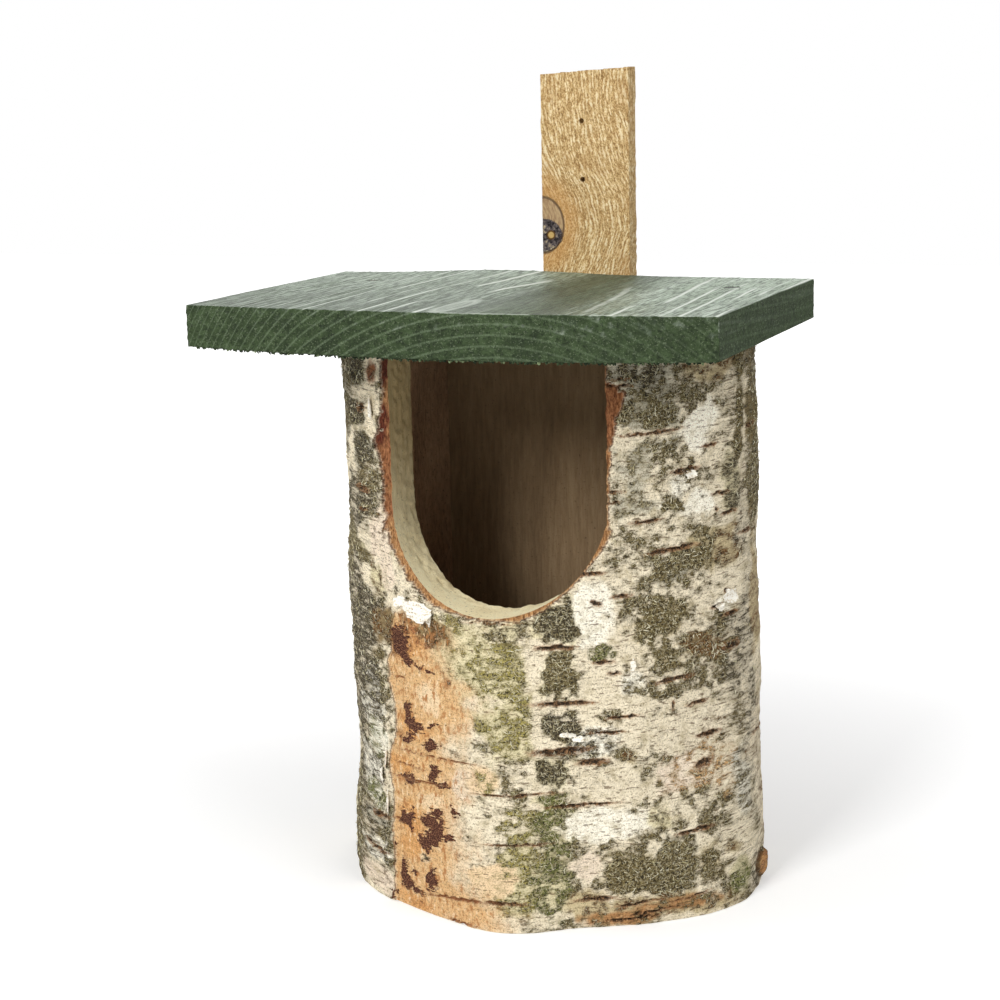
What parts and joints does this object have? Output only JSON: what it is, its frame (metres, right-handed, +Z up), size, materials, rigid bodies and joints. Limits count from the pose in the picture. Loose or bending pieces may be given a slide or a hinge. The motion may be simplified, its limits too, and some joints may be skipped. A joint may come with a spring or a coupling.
{
  "type": "open-fronted nest box",
  "caption": "Nest box of a bored birch log with the bark on, an arched open mouth under a flat green board roof, a flat back and a hanging batten.",
  "frame": {"origin": "centre of the base on the log's axis, on the underside of the floor plate", "axes": "+Z up along the log; +Y towards the wall that the flat back hangs on; -Y is the mouth's side; +X to the right seen from the front"},
  "size_m": [0.2272, 0.1621, 0.356],
  "materials": {
    "bark": "birch bark, cream with grey-green lichen, tan where peeled",
    "floor_wood": "sawn softwood",
    "board_wood": "sawn softwood",
    "green_wood": "dark green stain, half matt, grain showing",
    "batten_wood": "golden rough-sawn softwood",
    "screw_steel": "zinc plated, dull",
    "nail_steel": "bright wire, dulled"
  },
  "bodies": {
    "root": {"birch_log": "bark", "floor_plate": "floor_wood", "back_board": "board_wood", "roof_board": "green_wood", "back_batten": "batten_wood", "roof_screw_left": "screw_steel", "roof_screw_right": "screw_steel", "batten_roof_screw_left": "screw_steel", "batten_roof_screw_right": "screw_steel", "batten_floor_screw_left": "screw_steel", "batten_floor_screw_right": "screw_steel", "board_nail_left_1": "nail_steel", "board_nail_left_2": "nail_steel", "board_nail_left_3": "nail_steel", "board_nail_right_1": "nail_steel", "board_nail_right_2": "nail_steel", "board_nail_right_3": "nail_steel", "floor_nail_left": "nail_steel", "floor_nail_right": "nail_steel"}
  },
  "joints": []
}
